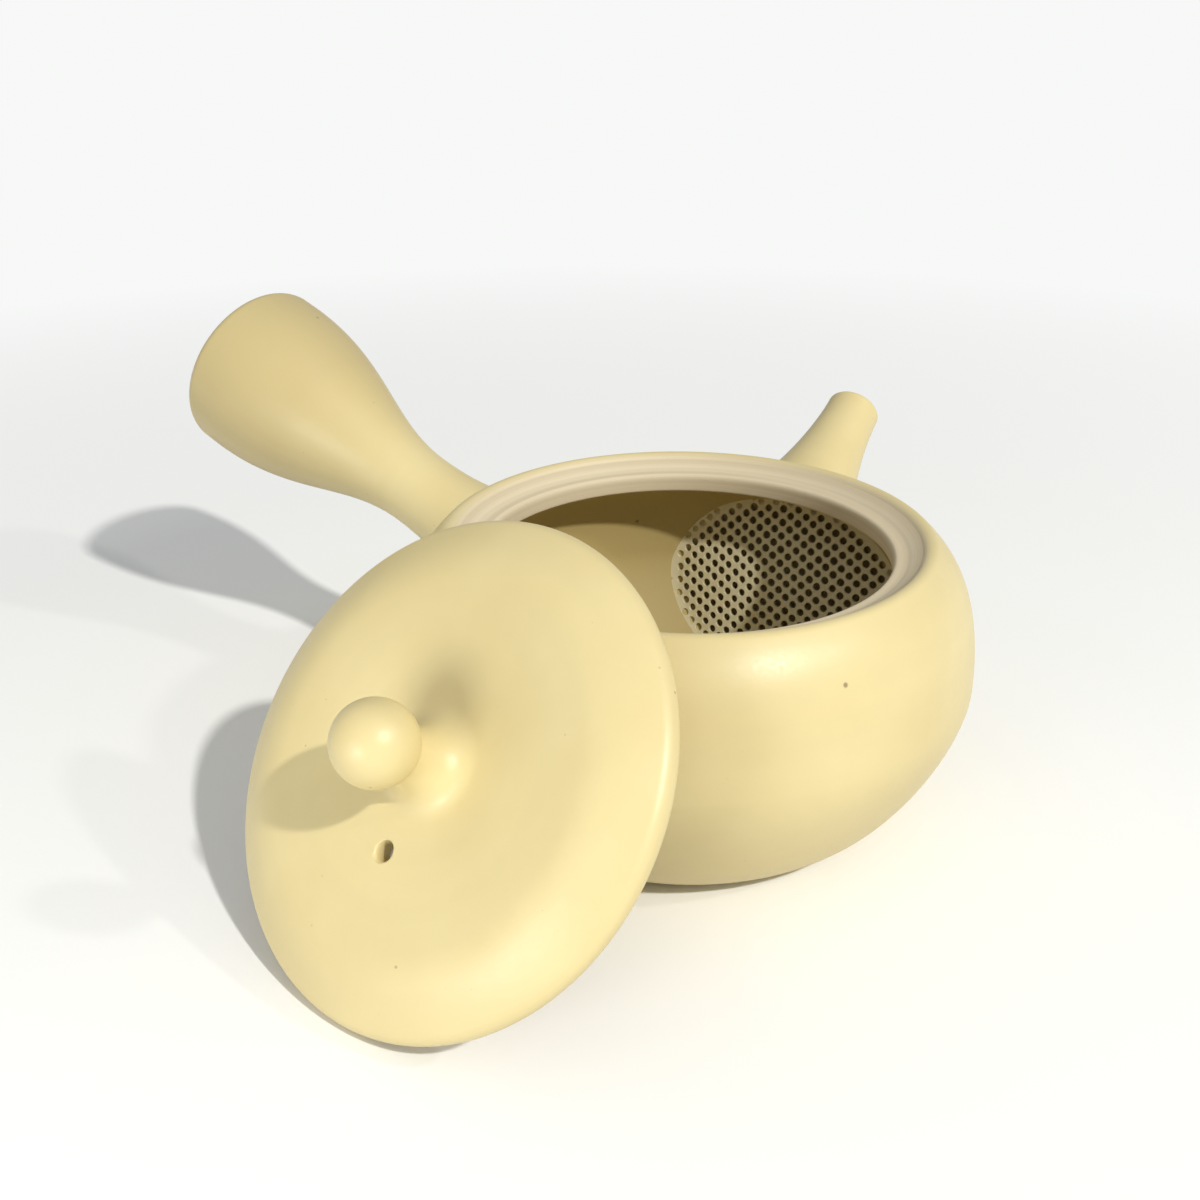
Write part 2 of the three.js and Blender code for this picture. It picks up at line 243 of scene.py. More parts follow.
# Outlines
def toward(point, angle, distance):
    return (
        point[0] + distance * math.cos(math.radians(angle)),
        point[1] + distance * math.sin(math.radians(angle)),
    )


def sweep(start, start_angle, start_pull, end, end_angle, end_pull, steps):
    """Points on a cubic curve. Each angle is the direction in which the curve leaves that end."""
    start_aim = toward(start, start_angle, start_pull)
    end_aim = toward(end, end_angle, end_pull)
    corners = np.array([start, start_aim, end_aim, end], float)
    t = np.linspace(0, 1, steps + 1)[:, None]
    weights = np.hstack([(1 - t) ** 3, 3 * (1 - t) ** 2 * t, 3 * (1 - t) * t**2, t**3])
    return [tuple(point) for point in weights @ corners]


def arc(centre, radius, start_angle, end_angle, steps):
    return [toward(centre, angle, radius) for angle in np.linspace(start_angle, end_angle, steps + 1)]


def line(start, end, steps):
    return [tuple(point) for point in np.linspace(start, end, steps + 1)]


def soften(before, corner, after, radius, steps=5):
    """A small round in place of a corner of an outline."""
    before, corner, after = (np.array(point, float) for point in (before, corner, after))
    start = corner + radius * (before - corner) / np.linalg.norm(before - corner)
    end = corner + radius * (after - corner) / np.linalg.norm(after - corner)
    t = np.linspace(0, 1, steps + 1)[:, None]
    return [tuple(point) for point in (1 - t) ** 2 * start + 2 * (1 - t) * t * corner + t**2 * end]


# Frames: matrices whose +Z is the axis of a turned part
def axis_frame(turn, rise, origin):
    about_z = Matrix.Rotation(math.radians(turn), 4, "Z")
    about_y = Matrix.Rotation(math.radians(90 - rise), 4, "Y")
    return Matrix.Translation(origin) @ (about_z @ about_y)


spout_frame = axis_frame(0, spout_rise, (0, 0, spout_axis_height))
handle_frame = axis_frame(handle_turn, handle_rise, (0, 0, handle_axis_height))
lid_frame = axis_frame(lid_facing, 90 - lid_lean, lid_centre)

# The strainer's frame has its +X through the sheet, away from the bowl's middle
strainer_frame = (
    Matrix.Rotation(math.radians(strainer_turn), 4, "Z")
    @ Matrix.Translation((strainer_reach, 0, strainer_height))
    @ Matrix.Rotation(math.radians(strainer_tilt), 4, "Y")
)


def into(matrix, points):
    """Points given in a frame, in the pot's frame."""
    m = np.array(matrix)
    return points @ m[:3, :3].T + m[:3, 3]


def out_of(matrix, points):
    return into(matrix.inverted(), points)


# Distances: less than nothing inside the clay
def outline_distance(outline, radius, height):
    """Signed distance from a closed outline, which may have corners that coincide."""
    points = np.column_stack([radius, height])
    starts = np.array(outline, float)
    nearest = np.full(len(points), np.inf)
    inside = np.zeros(len(points), bool)
    for start, end in zip(starts, np.roll(starts, -1, axis=0)):
        along = end - start
        length = along @ along
        if length == 0:
            continue
        offset = points - start
        share = np.clip(offset @ along / length, 0, 1)
        away = offset - share[:, None] * along
        nearest = np.minimum(nearest, (away**2).sum(axis=1))
        crosses = (start[1] > points[:, 1]) != (end[1] > points[:, 1])
        crossing = along[0] * offset[:, 1] / (along[1] if along[1] else 1) + start[0]
        inside ^= crosses & (points[:, 0] < crossing)
    return np.where(inside, -1, 1) * np.sqrt(nearest)


def turned_distance(outline, matrix=None):
    def distance(points):
        local = points if matrix is None else out_of(matrix, points)
        return outline_distance(outline, np.hypot(local[:, 0], local[:, 1]), local[:, 2])

    return distance


def blended(first, second, width):
    """Two distances joined with a rounded inner corner of that width."""

    def distance(points):
        a, b = first(points), second(points)
        overlap = np.maximum(width - np.abs(a - b), 0) / width
        return np.minimum(a, b) - overlap**2 * width / 4

    return distance


def gradient(distance, points, step=0.02):
    slopes = []
    for axis in range(3):
        nudge = np.zeros(3)
        nudge[axis] = step
        slopes.append((distance(points + nudge) - distance(points - nudge)) / (2 * step))
    return np.column_stack(slopes)


def settle(distance, points, level=0.0, rounds=5, least_slope=0.1):
    """Points moved onto a level of a distance, the shortest way."""
    for _ in range(rounds):
        slopes = gradient(distance, points)
        steepness = np.maximum((slopes**2).sum(axis=1), least_slope)
        points = points - slopes * ((distance(points) - level) / steepness)[:, None]
    return points


# Meshes
def new_piece(name, vertices, faces, raw_shade_values=None, sealed=False):
    """A piece in metres from points in millimetres. The raw_shade_values say, from 0 to 1 at each point,
    how unburnished the clay is, darker partly as painted shade. A piece that is to be sealed has two open
    rims, which are joined."""
    mesh = bpy.data.meshes.new(name)
    mesh.from_pydata((np.asarray(vertices) * MM).tolist(), [], faces)
    if raw_shade_values is not None:
        mesh.attributes.new("raw", "FLOAT", "POINT").data.foreach_set("value", raw_shade_values)
    work = bmesh.new()
    work.from_mesh(mesh)
    bmesh.ops.remove_doubles(work, verts=work.verts, dist=weld_distance)
    bmesh.ops.recalc_face_normals(work, faces=work.faces)
    if sealed:
        bmesh.ops.bridge_loops(work, edges=[edge for edge in work.edges if edge.is_boundary])
        bmesh.ops.recalc_face_normals(work, faces=work.faces)
    work.to_mesh(mesh)
    work.free()
    mesh.shade_smooth()
    piece = bpy.data.objects.new(name, mesh)
    bpy.context.scene.collection.objects.link(piece)
    return piece


def rings_to_piece(name, rings, matrix=None, closed=False, raw_shade_values=None):
    """A skin over rings of points, where a ring of one point is a pole. The raw_shade_values go ring by
    ring.
    """
    vertices = np.vstack(rings) if matrix is None else into(matrix, np.vstack(rings))
    starts = np.cumsum([0] + [len(ring) for ring in rings])
    pairs = [(i, i + 1) for i in range(len(rings) - 1)]
    if closed:
        pairs.append((len(rings) - 1, 0))
    faces = []
    for low, high in pairs:
        count = max(len(rings[low]), len(rings[high]))
        for i in range(count):
            j = (i + 1) % count
            corners = []
            for ring, index in ((low, i), (low, j), (high, j), (high, i)):
                corner = int(starts[ring]) + (index if len(rings[ring]) > 1 else 0)
                if corner not in corners:
                    corners.append(corner)
            if len(corners) > 2:
                faces.append(corners)
    raw_shade_values = None if raw_shade_values is None else np.repeat(raw_shade_values, [len(ring) for ring in rings])
    return new_piece(name, vertices, faces, raw_shade_values)


def turned_rings(outline, sides):
    angles = np.linspace(0, 2 * np.pi, sides, endpoint=False)
    rings = []
    for radius, height in outline:
        if radius < pole_radius:
            rings.append(np.array([[0, 0, height]]))
        else:
            ring = [radius * np.cos(angles), radius * np.sin(angles), np.full(sides, height)]
            rings.append(np.column_stack(ring))
    return rings


def mark(piece, matrix, **shares):
    """Keeps at each point of a mesh its radius and height in the frame of its own axis, for the turning
    lines, and numbers from 0 to 1 that are worked out from the two."""
    mesh = piece.data
    places = np.empty(len(mesh.vertices) * 3)
    mesh.vertices.foreach_get("co", places)
    local = out_of(matrix, places.reshape(-1, 3) / MM)
    radius, height = np.hypot(local[:, 0], local[:, 1]), local[:, 2]
    turned = mesh.attributes.new("turned", "FLOAT_VECTOR", "POINT")
    turned.data.foreach_set("vector", (np.column_stack([radius, height, 0 * height]) * MM).ravel())
    for name, share in shares.items():
        layer = mesh.attributes.new(name, "FLOAT", "POINT")
        layer.data.foreach_set("value", share(radius, height).astype(float))


def cut_away(piece, cutter):
    """Cuts one mesh out of another and deletes the cutter."""
    cut = piece.modifiers.new("cut", "BOOLEAN")
    cut.operation = "DIFFERENCE"
    cut.solver = "EXACT"
    cut.object = cutter
    depsgraph = bpy.context.evaluated_depsgraph_get()
    result = bpy.data.meshes.new_from_object(piece.evaluated_get(depsgraph))
    piece.modifiers.clear()
    piece.data = result
    piece.data.shade_smooth()
    bpy.data.objects.remove(cutter)


# Bowl
crest_centre = (crest_radius, crest_height - crest_rounding)
ledge_height = crest_height - ledge_depth
lip_bottom = ledge_height - lip_height


def bowl_outside(steps):
    foot = (foot_radius, foot_chamfer)
    belly = (belly_radius, belly_height)
    shoulder = toward(crest_centre, shoulder_angle, crest_rounding)
    lower = sweep(foot, 0, foot_pull, belly, -90, belly_pull_down, steps)
    upper = sweep(belly, 90, belly_pull_up, shoulder, shoulder_angle - 90, shoulder_pull, steps)
    return lower + upper[1:]


def bowl_inside(steps):
    lip = (ledge_inner_radius, lip_bottom)
    belly = (belly_radius - wall, belly_height)
    floor_edge = (foot_radius - floor_thickness, floor_thickness)
    upper = sweep(lip, 0, lip_pull, belly, 90, belly_pull_up, steps)
    lower = sweep(belly, -90, belly_pull_down, floor_edge, 0, foot_pull, steps)
    return upper + lower[1:]


def seat_outline():
    crest = arc(crest_centre, crest_rounding, shoulder_angle, seat_angle, 14)
    cone_foot = (ledge_outer_radius, ledge_height)
    ledge_edge = (ledge_inner_radius, ledge_height)
    lip = (ledge_inner_radius, lip_bottom)
    cone = line(crest[-1], toward(cone_foot, cone_end_angle, cone_end_distance), 12)
    ledge_corner = soften(cone[-1], cone_foot, ledge_edge, ledge_rounding)
    edge_corner = soften(cone_foot, ledge_edge, lip, ledge_rounding, 8)
    lip_corner = soften(ledge_edge, lip, (ledge_inner_radius + lip_underside, lip_bottom), lip_rounding)
    return crest[1:] + cone[1:] + ledge_corner[1:] + edge_corner + lip_corner


def bowl_bulk():
    """The bowl as if it were solid up to its crest."""
    crest = arc(crest_centre, crest_rounding, shoulder_angle, 90, 8)
    return [(0, 0), (foot_radius - foot_chamfer, 0)] + bowl_outside(40) + crest[1:] + [(0, crest_height)]


def bowl_space():
    """The space in the bowl, below its lip."""
    return [(0, lip_bottom)] + bowl_inside(40) + [(0, floor_thickness)]


bulk_distance = turned_distance(bowl_bulk())
space_distance = turned_distance(bowl_space())


def clay_round_the_space(points):
    """Distance from the bowl's inner wall, for points inside the bowl."""
    return -space_distance(points)


def build_bowl():
    foot_corner = (foot_radius - foot_chamfer, 0)
    foot_edge = soften((0, 0), foot_corner, (foot_radius, foot_chamfer), foot_rounding, 3)
    foot = line((0, 0), (foot_flat_radius, 0), 8) + foot_edge
    inside = bowl_inside(48)
    floor = line(inside[-1], (0, floor_thickness), 10)
    outline = foot + bowl_outside(48) + seat_outline() + inside[2:] + floor[1:]
    bowl = rings_to_piece("bowl_clay", turned_rings(outline, bowl_sides))
    start, end = (spout_root_reach + offset for offset in pour_hole_ends)
    hole = [(0, start), (pour_hole_radius, start), (pour_hole_radius, end), (0, end)]
    cut_away(bowl, rings_to_piece("hole", turned_rings(hole, cutter_sides), spout_frame))
    inner_radii, inner_heights = np.array(inside)[::-1].T

    # The unburnished inside, whose darker colour is also painted shade
    def raw(radius, height):
        near_wall = radius < np.interp(height, inner_heights, inner_radii) + raw_skin
        return near_wall & (height < lip_bottom + raw_margin) & (height > raw_clearance)

    def lapped(radius, height):
        share = np.clip((crest_radius - lap_start - radius) / lap_fade, 0, 1)
        return share * (height > lip_bottom - lap_margin)

    mark(bowl, Matrix.Identity(4), raw=raw, lapped=lapped)
    return bowl


# Spout and handle
def luted(name, profile, bore, matrix, blend, **shares):
    """A turned part luted to the bowl. Its outer profile runs from its end down into the bowl, and is led
    into a skirt that thins out along the bowl's skin. The bore runs from inside the bowl back up to the
    profile's start. Between the skirt's edge and the bore the piece is closed inside the bowl's wall."""
    angles = np.linspace(0, 2 * np.pi, luted_sides, endpoint=False)
    around = np.column_stack([np.cos(angles), np.sin(angles)])
    axis, origin = np.array(matrix)[:3, 2], np.array(matrix)[:3, 3]
    outer, rise = np.array(profile, float), np.array(bore, float)

    def place(radius, height):
        radius, height = np.broadcast_to(radius, luted_sides), np.broadcast_to(height, luted_sides)
        return into(matrix, np.column_stack([around * radius[:, None], height]))

    def ring_at(outline, step):
        """A ring that stands so many steps along an outline, which may differ from point to point."""
        steps = np.arange(len(outline))
        return place(np.interp(step, steps, outline[:, 0]), np.interp(step, steps, outline[:, 1]))

    def crossing(outline, level):
        """How many steps down an outline each of its rulings round the axis meets a level of the bowl."""
        depth = np.array([bulk_distance(place(r, z)) for r, z in outline]) - level
        first = (depth < 0).argmax(axis=0)
        before, after = depth[first - 1, range(luted_sides)], depth[first, range(luted_sides)]
        return first - 1 + before / (before - after)

    body = [(0, outer[-1][1])] + [tuple(point) for point in outer[::-1]] + [(0, outer[0][1])]
    joined = blended(bulk_distance, turned_distance(body, matrix), blend)
    stop = crossing(outer, 0)
    rings = [ring_at(outer, stop * (1 - (1 - t) ** outer_ring_crowding))
             for t in np.linspace(0, 1, outer_ring_count)]

    # The skirt runs outwards from the junction along the bowl, but not onto the crest
    junction = rings[-1]
    spread = junction - origin
    spread = spread - np.outer(spread @ axis, axis)
    normal = gradient(bulk_distance, junction)
    spread = spread - normal * (spread * normal).sum(axis=1)[:, None]
    spread /= np.linalg.norm(spread, axis=1)[:, None]
    room = (crest_height - crest_clearance - junction[:, 2]) / np.maximum(spread[:, 2], skirt_least_climb)
    length = np.minimum(skirt_length, np.maximum(room, skirt_shortest))
    along = [junction + spread * (length * t)[:, None] for t in np.linspace(0, 1, skirt_rows)[1:]]
    rings += np.split(settle(bulk_distance, np.vstack(along)), len(along))

    # All but the mouth is settled onto the joined skins. The skirt sinks under the bowl's, its edge most.
    past = np.arange(len(rings)) - (outer_ring_count - skirt_sink_rings)
    sunk = np.repeat(-skirt_sink * np.clip(past / skirt_sink_rings, 0, 1), luted_sides)
    kept = mouth_rings_kept
    moved = settle(joined, np.vstack(rings[kept:]), sunk[kept * luted_sides:])
    rings[kept:] = np.split(moved, len(rings) - kept)
    rings[-1] = settle(bulk_distance, rings[-1], -skirt_edge_sink)
    outside_count = len(rings)

    # Inside the wall to the bore, then up the bore
    last = len(rise) - 1
    start = last - crossing(rise[::-1], -closing_sink)
    gap = ring_at(rise, start) - rings[-1]
    across = [rings[-1] + gap * t for t in np.linspace(0, 1, closing_ring_count)]
    rings += np.split(settle(bulk_distance, np.vstack(across), -closing_sink), len(across))
    rings += [ring_at(rise, start + (last - start) * t) for t in np.linspace(0, 1, len(rise))[1:-1]]

    # The bore is unburnished and painted darker as painted shade, up to a few rings from the mouth
    count = np.arange(len(rings))
    raw_shade_values = np.clip((len(rings) - count - clean_mouth_rings) / raw_shade_fade_rings, 0, 1)
    piece = rings_to_piece(name, rings, closed=True, raw_shade_values=raw_shade_values * (count >= outside_count))
    mark(piece, matrix, **shares)
    return piece


def build_spout():
    rounding = spout_wall / 2
    lip_centre = (spout_tip_radius - rounding, spout_reach - rounding)
    tip = (spout_tip_radius, lip_centre[1])
    root = (spout_root_radius, spout_root_reach)
    profile = sweep(tip, -90, spout_tip_pull, root, spout_root_angle, spout_root_pull, 120)
    profile += [(root[0] + out, root[1] + up) for out, up in spout_tail]
    bore_tip = (spout_tip_radius - spout_wall, lip_centre[1])
    bore_root = (pour_hole_radius, spout_root_reach)
    bore = [(pour_hole_radius, spout_root_reach - spout_bore_start)]
    bore += sweep(bore_root, 90, spout_bore_pull, bore_tip, -90, spout_bore_pull, 40)
    bore += arc(lip_centre, rounding, 180, 0, 10)[1:]
    return luted("spout_clay", profile, bore, spout_frame, spout_blend)


def build_handle():
    bulb = (handle_bulb_radius, handle_bulb_reach)
    neck = (handle_neck_radius, handle_neck_reach)
    root = (handle_root_radius, handle_root_reach)
    end_centre = (handle_bulb_radius - handle_end_rounding, handle_reach - handle_end_rounding)
    profile = line((handle_bulb_radius, end_centre[1]), bulb, 3)
    profile += sweep(bulb, -90, handle_bulb_pull, neck, 90, handle_neck_pull, 70)[1:]
    profile += sweep(neck, -90, handle_flare_pull, root, handle_root_angle, handle_flare_pull, 50)[1:]
    profile += [(root[0] + handle_tail[0], root[1] + handle_tail[1])]
    hollow_neck = (handle_neck_radius - handle_wall, handle_neck_reach)
    hollow_bulb = (handle_bulb_radius - handle_wall, handle_reach - 2 * handle_wall)
    shelf = (hollow_bulb[0], handle_reach - handle_wall)
    mouth_in = (handle_mouth_radius, handle_reach - handle_wall)
    mouth_edge = (handle_mouth_radius, handle_reach)
    bore = line((hollow_neck[0], handle_bore_start), hollow_neck, 30)
    bore += sweep(hollow_neck, 90, handle_neck_pull, hollow_bulb, -90, handle_bulb_pull, 40)[1:]
    bore += soften(hollow_bulb, shelf, mouth_in, handle_shelf_rounding)
    bore += soften(shelf, mouth_in, mouth_edge, handle_mouth_rounding)
    bore += soften(mouth_in, mouth_edge, (end_centre[0], handle_reach), handle_mouth_rounding)
    bore += arc(end_centre, handle_end_rounding, 90, 0, 12)

    # Painted shade: the handle is painted darker towards its end, where less light reaches it
    def dusk(radius, height):
        return np.clip((height - handle_neck_reach) / handle_dusk_length, 0, 1)

    return luted("handle_clay", profile, bore, handle_frame, handle_blend, dusk=dusk)


# Strainer
def bow(points):
    """How far the strainer's sheet is bowed back, at points across it and up it."""
    return bow_across * points[:, 0] ** 2 + bow_up * points[:, 1] ** 2


def sheet_front(places):
    """Distance from the front of the strainer's bowed sheet."""
    local = out_of(strainer_frame, places)
    slope = np.sqrt(1 + (2 * bow_across * local[:, 1]) ** 2 + (2 * bow_up * local[:, 2]) ** 2)
    return (bow(local[:, 1:]) - local[:, 0]) / slope


def build_strainer():
    """A bowed sheet in lozenge cells, one round each hole, whose margin is worked into the bowl's wall."""
    chance = np.random.default_rng(scatter_seed)
    turn = math.radians(pierced_turn)
    turned = np.array([[math.cos(turn), -math.sin(turn)], [math.sin(turn), math.cos(turn)]])
    east, north = np.array([column_pitch, 0.0]), np.array([0.0, row_pitch])
    corners = [east, north, -east, -north]
    lozenge = []
    for start, end in zip(corners, corners[1:] + corners[:1]):
        lozenge += line(start, end, cell_steps)[:-1]
    lozenge = np.array(lozenge)
    sides = len(lozenge)
    angles = np.arctan2(lozenge[:, 1], lozenge[:, 0])
    circle = np.column_stack([np.cos(angles), np.sin(angles)]) @ turned.T
    lozenge = lozenge @ turned.T
    shares = np.linspace(0, 1, cell_steps + 1)
    places = [east + (north - east) * s + (-north - east) * t for s in shares for t in shares]
    grid = np.array(places) @ turned.T
    vertices, faces, front, raw_shade_values = [], [], [], []

    def add(points, depth, on_front):
        start = sum(len(block) for block in vertices)
        vertices.append(np.column_stack([bow(points) + depth, points]))
        front.extend([on_front] * len(points))
        # Hole walls are painted darker the deeper they go, as painted shade
        raw_shade_values.extend([min(depth / raw_hole_depth, 1)] * len(points))
        return start

    def skin(low, high):
        for i in range(sides):
            j = (i + 1) % sides
            faces.append([low + i, low + j, high + j, high + i])

    def pierce(cell, place, radius, hole, deep):
        """The front of a cell, led down into its hole. Gives the hole's last ring."""
        last = add(cell, 0, True)
        for share, depth in hole:
            ring = add(place + circle * radius * share, depth * deep, depth == 0)
            skin(last, ring)
            last = ring
        return last

    columns = math.ceil(strainer_half_width / column_pitch) + spare_cells
    rows = math.ceil(strainer_half_height / row_pitch) + spare_cells
    for column in range(-columns, columns + 1):
        for row in range(-rows, rows + 1):
            if (column + row) % 2:
                continue
            centre = np.array(pierced_start) + turned @ (column * east + row * north)
            on_sheet = np.column_stack([bow(centre[None]), centre[None]])
            room = float(clay_round_the_space(into(strainer_frame, on_sheet))[0])
            if room < cell_room:
                continue
            cell = centre + lozenge
            place = centre + chance.normal(0, hole_scatter, 2)
            radius = hole_radius * (1 + chance.normal(0, hole_scatter))
            back = add(cell, strainer_sheet, False)
            if room > open_hole_room:
                skin(pierce(cell, place, radius, open_hole, 1), back)
                continue
            faces.append([back + i for i in range(sides - 1, -1, -1)])
            if room > clogged_hole_room:
                deep = clogged_depth + clogged_deepening * max(room, 0)
                bottom = pierce(cell, place, radius, clogged_hole, deep)
                faces.append([bottom + i for i in range(sides)])
                continue
            start = add(centre + grid, 0, True)
            for s in range(cell_steps):
                for t in range(cell_steps):
                    corner = start + s * (cell_steps + 1) + t
                    faces.append([corner, corner + 1, corner + cell_steps + 2, corner + cell_steps + 1])

    # The front is worked into the wall with a small round, and sinks just under the wall's skin past it
    points = into(strainer_frame, np.vstack(vertices))
    near = np.array(front) & (clay_round_the_space(points) < strainer_blend)
    buried = np.clip(-clay_round_the_space(points[near]) / margin_fade, 0, 1)
    joined = blended(sheet_front, clay_round_the_space, strainer_blend)
    points[near] = settle(joined, points[near], -margin_sink * buried)
    piece = new_piece("strainer_clay", points, faces, raw_shade_values, sealed=True)
    piece.data.set_sharp_from_angle(angle=math.radians(strainer_sharp_angle))
    return piece


# Lid and knob
def build_lid():
    """One turned body: from the ball's top down the neck, out over the lid and back under it."""
    neck_angle = -math.degrees(math.acos(knob_neck_radius / knob_radius))
    ball = arc((0, knob_height), knob_radius, 90, neck_angle, 40)
    middle = (0, lid_dish_height)
    ring = (lid_ring_radius, lid_ring_height)
    dish = sweep(middle, 0, lid_dish_pull, ring, 180, lid_dish_pull, 60)
    knob_foot = next(point for point in dish if point[0] > knob_foot_radius)
    beyond = [point for point in dish if point[0] > knob_foot_radius + knob_foot_gap]
    slope = math.degrees(math.atan2(beyond[1][1] - knob_foot[1], beyond[1][0] - knob_foot[0]))
    neck = sweep(ball[-1], -90, knob_neck_pull, knob_foot, 180 + slope, knob_neck_pull, 26)
    edge_centre = (lid_radius - lid_edge_rounding, 0)
    rim = toward(edge_centre, lid_edge_angle, lid_edge_rounding)
    crown = sweep(ring, 0, crown_ring_pull, rim, lid_edge_angle + 90, crown_rim_pull, 24)
    edge = arc(edge_centre, lid_edge_rounding, lid_edge_angle, -90, 22)

    rest = -lid_edge_rounding
    flange_outer = ledge_inner_radius - lid_play
    flange_inner = flange_outer - flange_wall
    under_height = lid_dish_height - lid_wall
    under_start = (flange_inner - cove_width, lid_ring_height - lid_wall - lid_under_drop)
    turns = [edge[-1], (flange_outer, rest), (flange_outer, rest - flange_depth),
             (flange_inner, rest - flange_depth), (flange_inner, rest)]
    outline = ball + neck[1:] + beyond + crown[1:] + edge[1:]
    for before, corner, after, rounding in zip(turns, turns[1:], turns[2:], flange_roundings):
        outline += soften(before, corner, after, rounding)
    outline += sweep(turns[-1], 90, cove_pull, under_start, 0, cove_end_pull, 8)
    outline += sweep(under_start, 180, lid_under_pull, (0, under_height), 0, lid_dish_pull, 40)[1:]
    lid = rings_to_piece("lid_and_knob_clay", turned_rings(outline, lid_sides), lid_frame)

    # The vent hole, a little flared at the top
    top = float(np.interp(vent_reach, *np.array(dish).T))
    bottom = under_height - vent_overshoot
    vent = [(vent_radius + out, top + up) for out, up in vent_flare] + [(vent_radius, bottom)]
    vent = [(0, vent[0][1])] + vent + [(0, bottom)]
    vent_frame = lid_frame @ Matrix.Translation((vent_reach, 0, 0))
    cut_away(lid, rings_to_piece("vent", turned_rings(vent, cutter_sides), vent_frame))

    # The unburnished underside, whose darker colour is also painted shade in its hollow
    def raw(radius, height):
        return (radius < flange_inner + raw_margin) & (height < lid_dish_height - raw_clearance)

    def lapped(radius, height):
        return height < rest + lap_margin

    mark(lid, lid_frame, raw=raw, lapped=lapped)
    return lid


# Materials
def link(tree, source, target):
    tree.links.new(source, target)


def node(tree, kind, **values):
    made = tree.nodes.new(kind)
    for name, value in values.items():
        if name in made.inputs:
            made.inputs[name].default_value = value
        else:
            setattr(made, name, value)
    return made


def blend_colour(tree, factor, first, second):
    """A mix of two colours, each given as a socket or as a plain colour."""
    made = node(tree, "ShaderNodeMix", data_type="RGBA")
    inputs = {socket.identifier: socket for socket in made.inputs}
    link(tree, factor, inputs["Factor_Float"])
    for socket, value in ((inputs["A_Color"], first), (inputs["B_Color"], second)):
        if isinstance(value, tuple):
            socket.default_value = (*value, 1)
        else:
            link(tree, value, socket)
    return next(socket for socket in made.outputs if socket.identifier == "Result_Color")


def maths(tree, operation, *values):
    """A sum on values, each given as a socket or as a plain number."""
    made = node(tree, "ShaderNodeMath", operation=operation)
    for socket, value in zip(made.inputs, values):
        if isinstance(value, (int, float)):
            socket.default_value = value
        else:
            link(tree, value, socket)
    return made.outputs["Value"]


def stretch(tree, value, low, high, to_low=0.0, to_high=1.0):
    """A value between two numbers, stretched to lie between two others."""
    made = node(tree, "ShaderNodeMapRange")
    for socket, number in (("From Min", low), ("From Max", high), ("To Min", to_low), ("To Max", to_high)):
        made.inputs[socket].default_value = number
    link(tree, value, made.inputs["Value"])
    return made.outputs["Result"]


def noise(tree, place, scale, detail=2.0, rough=0.5):
    made = node(tree, "ShaderNodeTexNoise", Scale=scale, Detail=detail, Roughness=rough)
    link(tree, place, made.inputs["Vector"])
    return made.outputs["Fac"]


def mask(tree, name):
    return node(tree, "ShaderNodeAttribute", attribute_name=name).outputs["Fac"]


def shade(colour, shares):
    return tuple(share * value for share, value in zip(shares, colour))


# Specks: cells to the metre, the noise that a cell needs to hold one, its radius in cells, its strength and
# its colour
specks = (
    (230.0, 0.56, 0.115, 0.75, (0.2, 0.125, 0.055)),
    (520.0, 0.56, 0.13, 0.3, (0.38, 0.27, 0.13)),
)

# Noises, by their scale to the metre, and what they do to the clay's colour and skin
turning_scale = 1300.0
band_scale = 260.0
cloud_scale = 38.0
grain_scale = 1500.0
cloud_shares = (0.93, 0.91, 0.86)
band_shares = (0.9, 0.9, 0.9)
band_strength = 0.22
# Painted shade on the handle's far end
dusk_shares = (0.77, 0.74, 0.69)
ground_colours = ((0.6, 0.5, 0.36), (0.72, 0.62, 0.47))
ground_strength = 0.75
rough_gain = 0.25
line_relief = 0.00012
lapped_lines = 0.35
grain_relief = 0.00006


